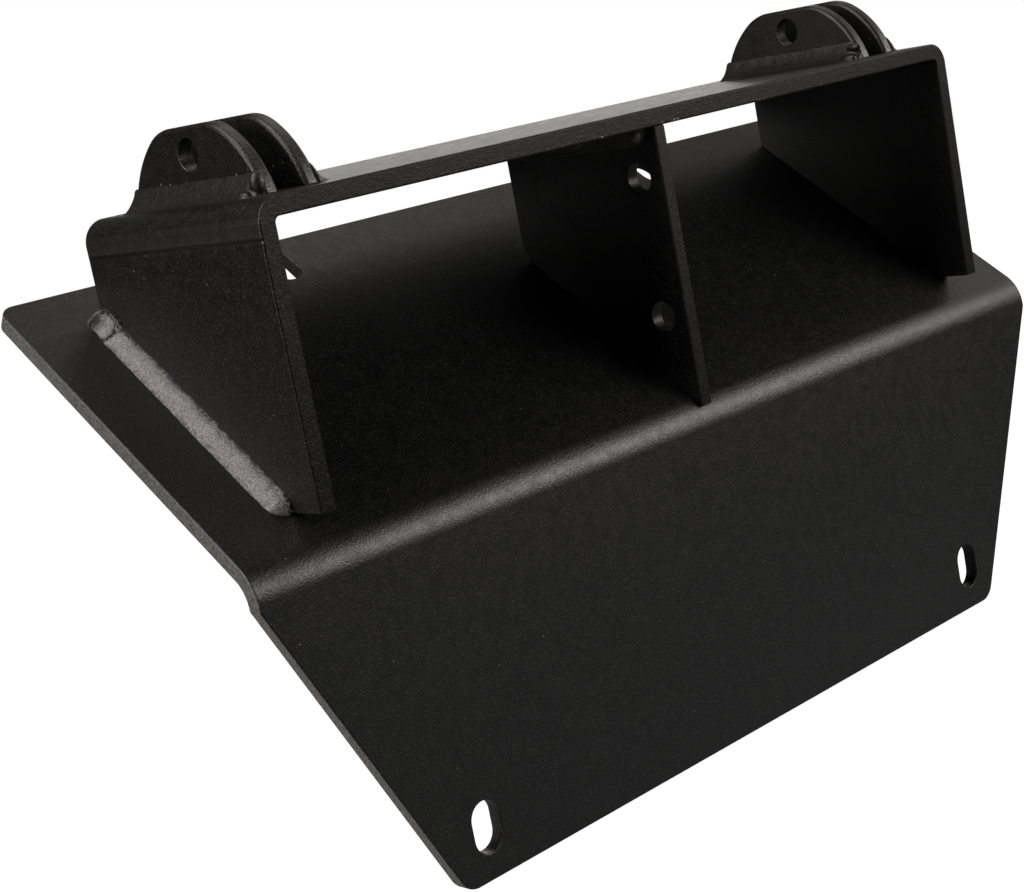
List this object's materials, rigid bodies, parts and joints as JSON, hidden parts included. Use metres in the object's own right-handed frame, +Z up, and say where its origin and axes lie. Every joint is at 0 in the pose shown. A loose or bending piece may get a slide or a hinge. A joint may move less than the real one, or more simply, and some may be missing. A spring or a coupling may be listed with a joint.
{
  "type": "plow mounting plate",
  "caption": "Bent steel base plate with a welded bracket that carries pin ears, for fixing a plow to a vehicle's frame.",
  "frame": {"origin": "on the apron's rear face, midway between the centres of its two slots", "axes": "+X across the plate, +Y to the rear, the way the apron's rear face looks, +Z up along the apron to the ears"},
  "size_m": [0.415, 0.1168, 0.2565],
  "materials": {
    "painted_plate": "satin",
    "weld_bead": "satin"
  },
  "bodies": {
    "root": {"base_plate": "painted_plate", "bracket": "painted_plate", "gusset": "painted_plate", "ear_left_outer": "painted_plate", "ear_left_inner": "painted_plate", "ear_right_inner": "painted_plate", "ear_right_outer": "painted_plate", "weld_leg_left": "weld_bead", "weld_leg_right": "weld_bead", "weld_ear_left_outer": "weld_bead", "weld_ear_left_inner": "weld_bead", "weld_ear_right_inner": "weld_bead", "weld_ear_right_outer": "weld_bead", "weld_gusset_top": "weld_bead", "weld_gusset_foot": "weld_bead"}
  },
  "joints": []
}
